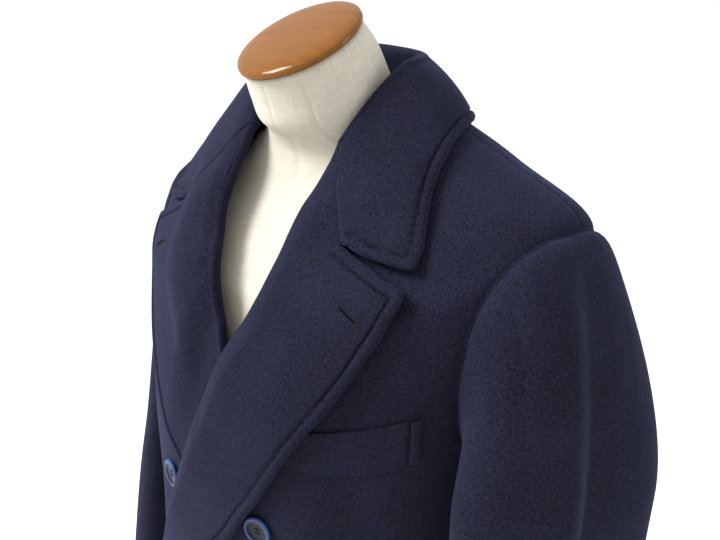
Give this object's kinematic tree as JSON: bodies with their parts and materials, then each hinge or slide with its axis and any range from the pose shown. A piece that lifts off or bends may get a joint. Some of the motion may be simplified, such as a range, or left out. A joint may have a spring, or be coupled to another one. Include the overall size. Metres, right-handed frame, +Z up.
{
  "type": "wool overcoat on a dress form",
  "caption": "Double-breasted wool overcoat with wide notched lapels and a turned collar, worn open-necked on a limbless linen dress form with a wood neck cap, pole and round base.",
  "frame": {"origin": "on the floor, at the centre of the underside of the stand's base", "axes": "+Z up, -Y the way the coat faces, +X the wearer's left"},
  "size_m": [0.6394, 0.3875, 1.5931],
  "materials": {
    "navy_melton": "milled wool, soft nap, matt",
    "navy_horn": "polished, moulded with a rim",
    "linen": "plain linen stretched over a padded form",
    "varnished_wood": "orange-brown varnish, glossy",
    "brushed_steel": "plain brushed tube"
  },
  "bodies": {
    "root": {"back_left": "navy_melton", "back_right": "navy_melton", "breast_welt": "navy_melton", "collar": "navy_melton", "front_left": "navy_melton", "front_right": "navy_melton", "lapel_left": "navy_melton", "lapel_right": "navy_melton", "under_sleeve_left": "navy_melton", "under_sleeve_right": "navy_melton", "upper_sleeve_left": "navy_melton", "upper_sleeve_right": "navy_melton", "button_left_1": "navy_horn", "button_left_2": "navy_horn", "button_left_3": "navy_horn", "button_right_1": "navy_horn", "button_right_2": "navy_horn", "button_right_3": "navy_horn", "form_torso": "linen", "neck_cap": "varnished_wood", "stand_pole": "brushed_steel", "stand_base": "varnished_wood"}
  },
  "joints": []
}
